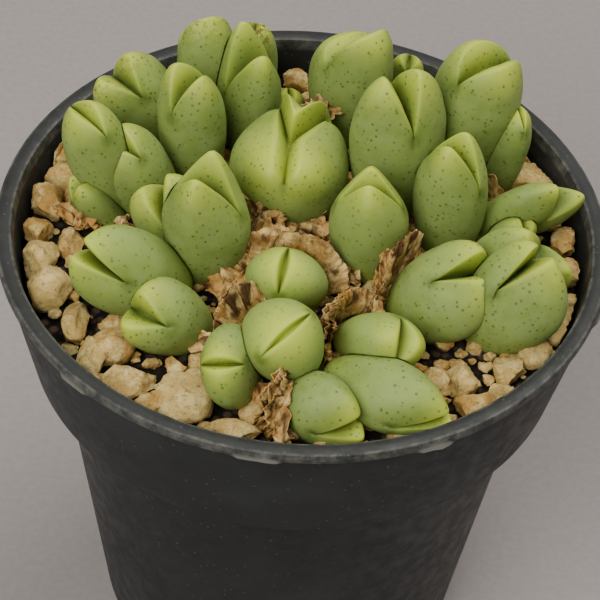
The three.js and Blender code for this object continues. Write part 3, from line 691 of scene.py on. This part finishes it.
SKIN_DEEP = (0.118, 0.172, 0.025, 1)
SKIN_PALE = (0.2, 0.262, 0.046, 1)
BLOOM = (0.205, 0.278, 0.082, 1)
YOUNG_SKIN = (0.25, 0.34, 0.045, 1)
TIP_LIME = (0.43, 0.5, 0.045, 1)
INNER_GREEN = (0.215, 0.285, 0.032, 1)
CLEFT_SHADE = (0.06, 0.1, 0.01, 1)
DOT = (0.035, 0.066, 0.012, 1)
SCAR = (0.11, 0.05, 0.014, 1)
skin, tree, shader = new_material("leaf_skin", Roughness=0.55, Specular_IOR_Level=0.3)
shader.subsurface_method = "RANDOM_WALK"
shader.inputs["Subsurface Weight"].default_value = 0.25
shader.inputs["Subsurface Radius"].default_value = (0.8, 1.0, 0.35)
shader.inputs["Subsurface Scale"].default_value = 1.6 * MM


def mark(tree, name):
    """Reads one of the numbers that a piece's points keep."""
    return node(tree, "ShaderNodeAttribute", attribute_name=name).outputs["Fac"]


young = mark(tree, "young")
inner = mark(tree, "inner")
clouding = effect(tree, mottle, grain=6 * MM, low=0.34, high=0.68)["Mask"]
wax = effect(tree, mottle, grain=2.4 * MM, detail=6.0, roughness=0.65, low=0.3, high=0.7)["Mask"]
colour = blend(tree, clouding, SKIN_DEEP, SKIN_PALE)
colour = blend(tree, young, colour, YOUNG_SKIN)
# The cheeks darken towards the bottom of the cleft: painted shade down in it
inside = blend(tree, ramp(tree, inner, 0.1, 0.95), INNER_GREEN, CLEFT_SHADE)
colour = blend(tree, ramp(tree, inner, 0.0, 0.16, 0, 0.92), colour, inside)
shoulder = ramp(tree, mark(tree, "level"), 0.12, 0.45)
shoulder = math_node(tree, "MULTIPLY", shoulder, ramp(tree, mark(tree, "level"), 0.7, 1, 0.75, 0.2))
colour = blend(tree, math_node(tree, "MULTIPLY", shoulder, ramp(tree, wax, 0, 1, 0.45, 1)), colour, BLOOM)
colour = blend(tree, math_node(tree, "MULTIPLY", mark(tree, "tip"), 0.74), colour, TIP_LIME)
# Painted shade at the notches, where the cleft's ends meet the ridges
colour = blend(tree, ramp(tree, mark(tree, "seam"), 0.1, 0.9, 0, 0.6), colour, CLEFT_SHADE)
colour = blend(tree, ramp(tree, mark(tree, "edge"), 0.3, 1, 0, 0.32), colour, TIP_LIME)
dots = effect(tree, flecks, spacing=1.05 * MM, radius=0.1, blur=0.24)
strength = ramp(tree, dots["Chance"], 0, 0.8, 0.25, 0.8)
strength = math_node(tree, "MULTIPLY", strength, ramp(tree, young, 0, 1, 1, 0.35))
strength = math_node(tree, "MULTIPLY", strength, ramp(tree, mark(tree, "edge"), 0.2, 0.9, 1, 0))
colour = blend(tree, math_node(tree, "MULTIPLY", dots["Mask"], strength), colour, DOT)
corky = effect(tree, mottle, grain=1.1 * MM, detail=5.0, roughness=0.7, low=0.5, high=0.58)["Mask"]
colour = blend(tree, math_node(tree, "MULTIPLY", corky, mark(tree, "scar")), colour, SCAR)
tree.links.new(colour, shader.inputs["Base Color"])
tree.links.new(ramp(tree, wax, 0, 1, 0.5, 0.64), shader.inputs["Roughness"])
roughen(tree, shader, grain=0.5 * MM, depth=0.045 * MM)

pairs = {number: LeafPair(**values) for number, values in HEADS.items()}
uneven = bpy.data.textures.new("uneven", "CLOUDS")
uneven.noise_scale = 7 * MM
uneven.noise_depth = 1


def displace(piece, texture, strength):
    """Pushes the points of a piece in and out by a texture."""
    apply_modifier(
        piece, "DISPLACE", texture=texture, texture_coords="LOCAL", strength=strength, mid_level=0.5
    )


heads = []
fronts = []
for number, pair in pairs.items():
    head = grow_head(number, pair)
    head.data.materials.append(skin)
    displace(head, uneven, 0.5 * MM)
    bpy.ops.object.select_all(action="DESELECT")
    bpy.context.view_layer.objects.active = head
    head.select_set(True)
    bpy.ops.object.duplicate()
    front = bpy.context.object
    bpy.ops.object.mode_set(mode="EDIT")
    bpy.ops.mesh.select_all(action="SELECT")
    bpy.ops.transform.shrink_fatten(value=PRESS_GAP)
    bpy.ops.object.mode_set(mode="OBJECT")
    for earlier in fronts:
        if near(head, earlier):
            apply_modifier(head, "BOOLEAN", object=earlier, solver="MANIFOLD")
    fronts.append(front)
    heads.append(head)

for number, head in zip(pairs, heads):
    smooth_shading(head, 50)
    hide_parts(f"head_{number}")
    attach(head, "root")
for front in fronts:
    bpy.data.objects.remove(front)

# The top dressing
# Pale angular pumice and grit, a few millimetres deep, poured by hand round the heads. Each stone
# is a ball flattened by a few planes and roughened, and small grit lies between them on dark mix,
# whose near-black between grains paints the shade in the gaps between the stones.
BED_BOTTOM = 80.3 * MM
BED_TOP = 84.8 * MM
BED_SURFACE = BED_TOP - 0.8 * MM
BED_RADIUS = 47.6 * MM
BED_STEPS = 128
BED_RINGS = 12
RING_WIDTH = 3.6 * MM
WALL_CLEAR = 0.6 * MM
STONE_GROWTH = 1.12
FILL_TRIES = 4200
GRIT_COUNT = 420

# The stones that the photograph shows best, as (x, y, length, breadth) in millimetres
STONES = [
    (-45, 20, 7, 6), (-43, 13, 7, 6.5), (-45, 6, 7.5, 7), (-46, -1, 6, 6.5), (-44, -8, 7.5, 8),
    (-40, -3, 5.5, 5.5), (-42, -15, 8, 8), (-36, -8, 5, 5.5), (-37, -22, 5, 10), (-33, -30, 5, 9.5),
    (-30, -26, 8, 8), (-26, -34, 8.5, 7), (-22, -39, 5.5, 6), (-17, -37, 9, 11), (-9, -44, 9, 5.5),
    (-5, -37, 5.5, 10), (24, -29, 5.5, 5.5), (28, -28, 6.5, 7), (30, -34, 6.5, 6), (34, -31, 5.5, 5.5),
    (36, -25, 5.5, 7.5), (40, -21, 6.5, 6), (43, -15, 6, 6.5), (46, -9, 5, 7), (46, 6, 5.5, 7),
    (46, -1, 5, 6), (38, 27, 5, 5), (40, 21, 10, 7.5), (-3, 45, 6, 5), (-28, 37, 5, 5), (-35, 31, 5, 5),
]


def room_in_pot(level):
    """How far out a stone may reach at a level without touching the collar's inner face."""
    share = (level - SHOULDER - WALL) / (POT_HEIGHT - SHOULDER - WALL)
    foot = COLLAR_FOOT_RADIUS - WALL
    return foot + share * (MOUTH_RADIUS - foot) - WALL_CLEAR


def shape_stone(spot, size, facets, detail, dice):
    """Adds one stone: a ball with flats, turned, sized and set down inside the pot."""
    bpy.ops.object.select_all(action="DESELECT")
    bpy.ops.mesh.primitive_ico_sphere_add(subdivisions=detail, radius=1, location=(0, 0, 0))
    stone = bpy.context.object
    flats = []
    for _ in range(facets):
        way = Vector((dice.gauss(0, 1), dice.gauss(0, 1), dice.gauss(0, 1))).normalized()
        flats.append((way, dice.uniform(0.52, 0.86)))
    spin = Euler((dice.uniform(0, 6.3), dice.uniform(0, 6.3), dice.uniform(0, 6.3)))
    for vertex in stone.data.vertices:
        co = vertex.co
        for way, depth in flats:
            over = co.dot(way) - depth
            if over > 0:
                co = co - way * over
        co = co + co * 0.1 * noise.noise(co * 1.7 + Vector(spot) * 1000)
        co.rotate(spin)
        co = Vector((co.x * size[0], co.y * size[1], co.z * size[2])) + Vector(spot)
        inward = min(1, room_in_pot(co.z) / math.hypot(co.x, co.y))
        vertex.co = (co.x * inward, co.y * inward, co.z)
    store(stone.data, "tone", [dice.random()] * len(stone.data.vertices))
    return stone


def join(pieces, name):
    """Makes several pieces one, under a new name."""
    bpy.ops.object.select_all(action="DESELECT")
    for piece in pieces:
        piece.select_set(True)
    bpy.context.view_layer.objects.active = pieces[0]
    bpy.ops.object.join()
    return start_piece(name)


dice = random.Random(7)
stones = []
for x, y, length, breadth in STONES:
    depth = 0.42 * min(length, breadth) * dice.uniform(0.85, 1.15)
    spot = (x * MM, y * MM, BED_TOP + 0.4 * depth * MM)
    size = (length / 2 * STONE_GROWTH * MM, breadth / 2 * STONE_GROWTH * MM, depth * 1.1 * MM)
    stones.append(shape_stone(spot, size, facets=7, detail=4, dice=dice))
shown_stones = join(stones, "stones_shown")


def covered(x, y, clear):
    """True where a head stands over that place in the bed."""
    for values in HEADS.values():
        bearing, tilt = (math.radians(angle) for angle in values["lean"])
        reach = 0.7 * values["size"][2] * math.sin(tilt)
        start = Vector(values["foot"])
        line = Vector((math.cos(bearing), math.sin(bearing))) * reach
        point = Vector((x, y)) - start
        share = max(0, min(1, point.dot(line) / max(line.length_squared, 1e-6)))
        if (point - line * share).length < clear:
            return True
    return False


placed = [(x, y, (length + breadth) / 4) for x, y, length, breadth in STONES]
fill = []
for _ in range(FILL_TRIES):
    radius = dice.uniform(1.2, 3.5)
    turn = dice.uniform(0, 2 * math.pi)
    out = (BED_RADIUS / MM - radius) * math.sqrt(dice.random())
    x, y = out * math.cos(turn), out * math.sin(turn)
    if covered(x, y, 3.2 + 0.4 * radius):
        continue
    if any(math.hypot(x - px, y - py) < 0.78 * (radius + pr) for px, py, pr in placed):
        continue
    placed.append((x, y, radius))
    spot = (x * MM, y * MM, BED_TOP + dice.uniform(-0.4, 0.5) * MM)
    size = (radius * MM, radius * dice.uniform(0.7, 1) * MM, radius * dice.uniform(0.6, 0.85) * MM)
    fill.append(shape_stone(spot, size, facets=6, detail=3, dice=dice))
fill_stones = join(fill, "stones_between")

grit = []
for _ in range(GRIT_COUNT):
    turn = dice.uniform(0, 2 * math.pi)
    out = (BED_RADIUS / MM - 1) * math.sqrt(dice.random())
    radius = dice.uniform(0.4, 1.1)
    spot = (out * math.cos(turn) * MM, out * math.sin(turn) * MM, BED_TOP + dice.uniform(-0.6, 0.1) * MM)
    size = (radius * MM, radius * 0.8 * MM, radius * 0.7 * MM)
    grit.append(shape_stone(spot, size, facets=4, detail=1, dice=dice))
grit_between = join(grit, "grit")

bpy.ops.object.select_all(action="DESELECT")
bpy.ops.mesh.primitive_cylinder_add(
    vertices=BED_STEPS, radius=BED_RADIUS, depth=BED_SURFACE - BED_BOTTOM, location=(0, 0, 0)
)
bed = start_piece("bed")
bed.data.transform(Matrix.Translation((0, 0, (BED_SURFACE + BED_BOTTOM) / 2)))
bpy.ops.object.mode_set(mode="EDIT")
pick(lambda co: co.z > BED_SURFACE - 0.2 * MM)
for _ in range(BED_RINGS):
    bpy.ops.mesh.inset(thickness=RING_WIDTH)
bpy.ops.object.mode_set(mode="OBJECT")
# The bed is the mix under the stones, and its near-black also paints the shade in the gaps between them
bed.data.materials.append(mix)

PUMICE = (0.5, 0.355, 0.12, 1)
PUMICE_PALE = (0.66, 0.52, 0.22, 1)
PUMICE_WARM = (0.45, 0.26, 0.07, 1)
STONE_DIRT_AND_PIT_SHADE = (0.09, 0.06, 0.026, 1)
pumice, tree, shader = new_material("pumice", Roughness=0.95, Specular_IOR_Level=0.05)
paling = effect(tree, mottle, grain=2.4 * MM, detail=5.0, roughness=0.65, low=0.42, high=0.68)["Mask"]
dirty_shaded_pits = effect(tree, mottle, grain=0.9 * MM, detail=6.0, roughness=0.75, low=0.52, high=0.66)["Mask"]
colour = blend(tree, ramp(tree, mark(tree, "tone"), 0.25, 0.9), PUMICE_WARM, PUMICE)
colour = blend(tree, paling, colour, PUMICE_PALE)
# The dark in the pits is dirt lodged in them and painted shade down in the pores
colour = blend(tree, math_node(tree, "MULTIPLY", dirty_shaded_pits, 0.65), colour, STONE_DIRT_AND_PIT_SHADE)
tree.links.new(colour, shader.inputs["Base Color"])
roughen(tree, shader, grain=0.9 * MM, roughness=0.75, depth=0.6 * MM)
rough = bpy.data.textures.new("stone_rough", "CLOUDS")
rough.noise_scale = 1.5 * MM
rough.noise_depth = 4
rough.noise_type = "HARD_NOISE"
for piece in (shown_stones, fill_stones):
    displace(piece, rough, 0.75 * MM)
for piece in (shown_stones, fill_stones, grit_between):
    smooth_shading(piece, 45)
    piece.data.materials.append(pumice)
for piece in (shown_stones, fill_stones, grit_between, bed):
    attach(piece, "root")
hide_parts("gravel")

# The dried sheaths
# The papery skins of last year's leaf pairs, shrunk and torn open by the new ones and left round
# their feet in layers. Each layer is a strip wrapped round a head, folded, frayed at its top and
# curled outwards. start and end are bearings in degrees, top is how far up the head it reaches.
SHEATHS = {
    "09": dict(start=10, end=190, top=0.86, flare=1.4, seed=2),
    "04": dict(start=80, end=250, top=0.74, flare=1.4, seed=4),
    "02": dict(start=85, end=225, top=0.6, flare=1.3, seed=5),
    "11": dict(start=-55, end=45, top=0.72, flare=2.2, seed=3),
    "13": dict(start=-140, end=-30, top=0.46, flare=2, seed=6),
    "06": dict(start=100, end=190, top=0.66, flare=2, seed=7),
    "05": dict(start=120, end=250, top=0.55, flare=1.4, seed=8),
    "08": dict(start=-130, end=-20, top=0.36, flare=0.8, seed=9),
    "18": dict(start=160, end=290, top=0.5, flare=1.8, seed=10),
    "14": dict(start=-55, end=45, top=0.36, flare=1.6, seed=11),
    "12": dict(start=-70, end=30, top=0.32, flare=1.4, seed=12),
    "29": dict(start=-125, end=-35, top=0.36, flare=1.4, seed=13),
}
SHEATH_COLUMNS = 110
SHEATH_ROWS = 24
SHEATH_LAYERS = 3
SHEATH_FOOT = 0.08
SHEATH_CLEAR = 0.35
LAYER_STEP = 0.5
CURL_START = 0.62
SKIN_THICKNESS = 0.14 * MM


def crease_at(spot):
    """How far a point of the skin stands off in sharp folds, from 0 in a furrow to about 1."""
    return noise.ridged_multi_fractal(spot, 0.8, 2.1, 4, 1.0, 2.0) / 2.2


def finish_skin(piece, fold):
    """Keeps the folds for the material, which paints shade into their furrows, and gives the sheet its
    thickness.
    """
    low, high = min(fold), max(fold)
    store(piece.data, "fold", [(value - low) / (high - low) for value in fold])
    apply_modifier(piece, "SOLIDIFY", thickness=SKIN_THICKNESS, offset=0)
    smooth_shading(piece, 70)
    return piece


def wrap_sheath(number, layer, start, end, top, flare, seed):
    """One torn layer of a sheath: a strip wrapped round the head, folded and curled outwards."""
    pair = pairs[number]
    dice = random.Random(10 * seed + layer)
    start += layer * dice.uniform(2, 16)
    end -= layer * dice.uniform(2, 16)
    top *= 1 - 0.16 * layer * dice.uniform(0.4, 1)
    bpy.ops.object.select_all(action="DESELECT")
    bpy.ops.mesh.primitive_grid_add(
        x_subdivisions=SHEATH_COLUMNS, y_subdivisions=SHEATH_ROWS, size=1, location=(0, 0, 0)
    )
    sheath = bpy.context.object
    offset = Vector((seed * 3.7, seed * 1.9 + layer * 8.3, seed * 5.1))
    fold = []
    for vertex in sheath.data.vertices:
        share = vertex.co.x + 0.5
        row = vertex.co.y + 0.5
        along = math.radians(end - start) * pair.thickness / 4
        torn = 0.78 + 0.22 * noise.noise(Vector((along * share, 0.3, 0)) + offset)
        torn -= 0.16 * abs(noise.noise(Vector((along * share * 6, 0.7, 0)) + offset))
        reach = top * (0.55 + 0.45 * math.sin(math.pi * share)) * torn
        sway = 7 * row * noise.noise(Vector((along * share * 2, row * 1.5, 5)) + offset)
        bearing = math.radians(start + (end - start) * share + sway)
        spot = pair.wall_at(bearing, SHEATH_FOOT + (reach - SHEATH_FOOT) * row)
        outward = Vector((spot.x, spot.y, 0)).normalized()
        crease = crease_at(Vector((along * share, row * 2.4, 0)) + offset)
        wave = 0.5 + 0.5 * noise.noise(Vector((along * share * 1.2, row, 3)) + offset)
        curl = (max(0.0, row - CURL_START) / (1 - CURL_START)) ** 2
        lift = SHEATH_CLEAR + LAYER_STEP * layer + flare * row**1.4
        lift += row * (1.3 * wave + 1.1 * crease)
        spot += outward * (lift + 0.9 * curl)
        spot.z += row * noise.noise(Vector((along * share * 3, row * 3, 1)) + offset)
        spot.z -= 1.1 * curl * wave
        vertex.co = pair.place @ spot
        fold.append(crease)
    return finish_skin(sheath, fold)


STRAW = (0.4, 0.24, 0.07, 1)
STRAW_PALE = (0.64, 0.46, 0.18, 1)
RUST = (0.36, 0.175, 0.034, 1)
UMBER_STAIN_AND_CREASE_SHADE = (0.07, 0.028, 0.009, 1)
paper, tree, shader = new_material("dry_paper", Roughness=0.75, Specular_IOR_Level=0.2)
fold = mark(tree, "fold")
paling = effect(tree, mottle, grain=3.4 * MM, detail=5.0, roughness=0.65, low=0.42, high=0.62)["Mask"]
rusty = effect(tree, mottle, grain=5 * MM, detail=5.0, roughness=0.65, low=0.5, high=0.62)["Mask"]
stain = effect(tree, mottle, grain=1.6 * MM, detail=6.0, roughness=0.7, low=0.5, high=0.64)["Mask"]
colour = blend(tree, paling, STRAW, STRAW_PALE)
colour = blend(tree, math_node(tree, "MULTIPLY", rusty, 0.75), colour, RUST)
colour = blend(tree, math_node(tree, "MULTIPLY", stain, 0.7), colour, UMBER_STAIN_AND_CREASE_SHADE)
# Painted shade: the furrows of the folds are darkened to umber; the mottled umber above is real staining
colour = blend(tree, ramp(tree, fold, 0.22, 0.68, 0.95, 0), colour, UMBER_STAIN_AND_CREASE_SHADE)
tree.links.new(colour, shader.inputs["Base Color"])
roughen(tree, shader, grain=0.7 * MM, depth=0.2 * MM)
for number, values in SHEATHS.items():
    layers = [wrap_sheath(number, layer, **values) for layer in range(SHEATH_LAYERS)]
    sheath = join(layers, f"dry_sheath_{number}")
    sheath.data.materials.append(paper)
    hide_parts(f"sheath_{number}")
    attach(sheath, "root")

# Loose scraps of the dried skins
# Bits that have broken off the sheaths and lie crumpled between the heads and on the stones. Each is
# a small sheet, folded up and frayed.
SCRAP_COLUMNS = 34
SCRAP_ROWS = 24
SCRAP_SEED = 21

# As (x, y, level, length, breadth) in millimetres, and the lean from flat in degrees
SCRAPS = [
    (-11.5, -12.2, 86, 8, 5.5, 30), (0, 2.5, 87, 8, 5, 50), (-7.6, 1.4, 87, 9, 6, 80),
    (-4.6, -1, 86.5, 6, 5, 50), (5.6, 2.2, 86.5, 6, 4.5, 40), (31.8, 12.6, 88, 9, 5, 85),
    (31, 9.5, 86.5, 6, 4, 60), (17.5, 3.4, 86.5, 5.5, 4.5, 70), (12.7, -4.3, 86, 6, 4, 45),
    (-40, 1.7, 86.5, 6.5, 4, 20), (-36.7, 0.3, 86.5, 5, 3.5, 50), (1.7, 25, 95, 8, 3.5, 25),
    (-14.5, -25.4, 85.5, 10, 4, 35), (-1.6, -40.9, 85.5, 5.5, 8, 40), (7.7, -7, 86, 6, 4, 60),
    (-3.5, -36.5, 85.5, 4.5, 4, 40), (-31.2, 0.4, 86, 4, 3, 50),
]


def crumple_scrap(spot, length, breadth, lean, dice):
    """Folds a small frayed sheet up, and sets it down on its lowest point."""
    bpy.ops.object.select_all(action="DESELECT")
    bpy.ops.mesh.primitive_grid_add(
        x_subdivisions=SCRAP_COLUMNS, y_subdivisions=SCRAP_ROWS, size=1, location=(0, 0, 0)
    )
    scrap = bpy.context.object
    offset = Vector((dice.uniform(0, 50), dice.uniform(0, 50), dice.uniform(0, 50)))
    turn = Euler((math.radians(lean), 0, math.radians(dice.uniform(-35, 35))))
    fold = []
    for vertex in scrap.data.vertices:
        flat = Vector((vertex.co.x * length, vertex.co.y * breadth, 0))
        fray = 1 - 0.3 * abs(noise.noise(flat * 0.9 + offset)) * (2 * vertex.co.length)
        crease = crease_at(flat * 0.4 + offset)
        large = noise.noise_vector(flat * 0.3 + offset) * 0.42 * breadth
        small = noise.noise_vector(flat * 0.95 + offset) * 0.9
        folded = flat * fray + large + small + Vector((0, 0, 0.9 * crease))
        folded.rotate(turn)
        vertex.co = folded
        fold.append(crease)
    low = min(vertex.co.z for vertex in scrap.data.vertices)
    middle = sum((vertex.co for vertex in scrap.data.vertices), Vector()) / len(scrap.data.vertices)
    shift = Vector((spot[0] - middle.x, spot[1] - middle.y, spot[2] - low))
    scrap.data.transform(Matrix.Scale(MM, 4) @ Matrix.Translation(shift))
    return finish_skin(scrap, fold)


dice = random.Random(SCRAP_SEED)
noise.seed_set(SCRAP_SEED)
scraps = []
for x, y, level, length, breadth, lean in SCRAPS:
    scraps.append(crumple_scrap((x, y, level), length, breadth, lean, dice))
skin_scraps = join(scraps, "skin_scraps")
skin_scraps.data.materials.append(paper)
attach(skin_scraps, "root")

# The studio
# A plain pale floor under soft light, which comes from above behind the right and, a little
# stronger, from the front left. The camera stands in front, looks down and is rolled a little.
bpy.ops.object.select_all(action="DESELECT")
bpy.ops.mesh.primitive_plane_add(size=6, location=(0, 0, 0))
floor = start_piece("floor")
floor_paint, tree, shader = new_material("floor_paint", Roughness=0.9, Specular_IOR_Level=0.1)
paling = effect(tree, mottle, grain=1.5 * MM, detail=3.0, low=0.3, high=0.7)["Mask"]
colour = blend(tree, paling, (0.24, 0.217, 0.208, 1), (0.26, 0.236, 0.227, 1))
tree.links.new(colour, shader.inputs["Base Color"])
floor.data.materials.append(floor_paint)


LIGHT_SIZE = 0.7
PLANT_SPOT = Vector((0, 0, 0.08))


def soft_light(name, spot, power, colour):
    """Hangs a round soft light that faces the plant."""
    lamp = bpy.data.lights.new(name, "AREA")
    lamp.shape = "DISK"
    lamp.size = LIGHT_SIZE
    lamp.energy = power
    lamp.color = colour
    light = bpy.data.objects.new(name, lamp)
    bpy.context.scene.collection.objects.link(light)
    light.location = spot
    light.rotation_euler = (PLANT_SPOT - light.location).to_track_quat("-Z", "Y").to_euler()


soft_light("sky", spot=(0.25, 0.3, 0.95), power=8, colour=(1, 0.97, 0.92))
soft_light("fill", spot=(-0.35, -0.6, 0.75), power=11, colour=(1, 0.98, 0.95))
world = bpy.data.worlds.new("room")
world.use_nodes = True
background = world.node_tree.nodes["Background"]
background.inputs["Color"].default_value = (0.78, 0.77, 0.76, 1)
background.inputs["Strength"].default_value = 0.66
bpy.context.scene.world = world

CAMERA_SPOT = Vector((0.43, -273.5, 351.3)) * MM
CAMERA_DOWN = math.radians(45.5)
CAMERA_ROLL = math.radians(4.3)
FOCAL_PIXELS = 2200
IMAGE_PIXELS = 600
SENSOR = 36
camera_lens = bpy.data.cameras.new("camera")
camera_lens.sensor_width = SENSOR
camera_lens.lens = FOCAL_PIXELS * SENSOR / IMAGE_PIXELS
camera_lens.clip_start = 0.01
camera = bpy.data.objects.new("camera", camera_lens)
bpy.context.scene.collection.objects.link(camera)
camera.location = CAMERA_SPOT
ahead = Vector((0, math.cos(CAMERA_DOWN), -math.sin(CAMERA_DOWN)))
upright = ahead.to_track_quat("-Z", "Y")
camera.rotation_euler = (upright @ Quaternion((0, 0, 1), CAMERA_ROLL)).to_euler()
bpy.context.scene.camera = camera
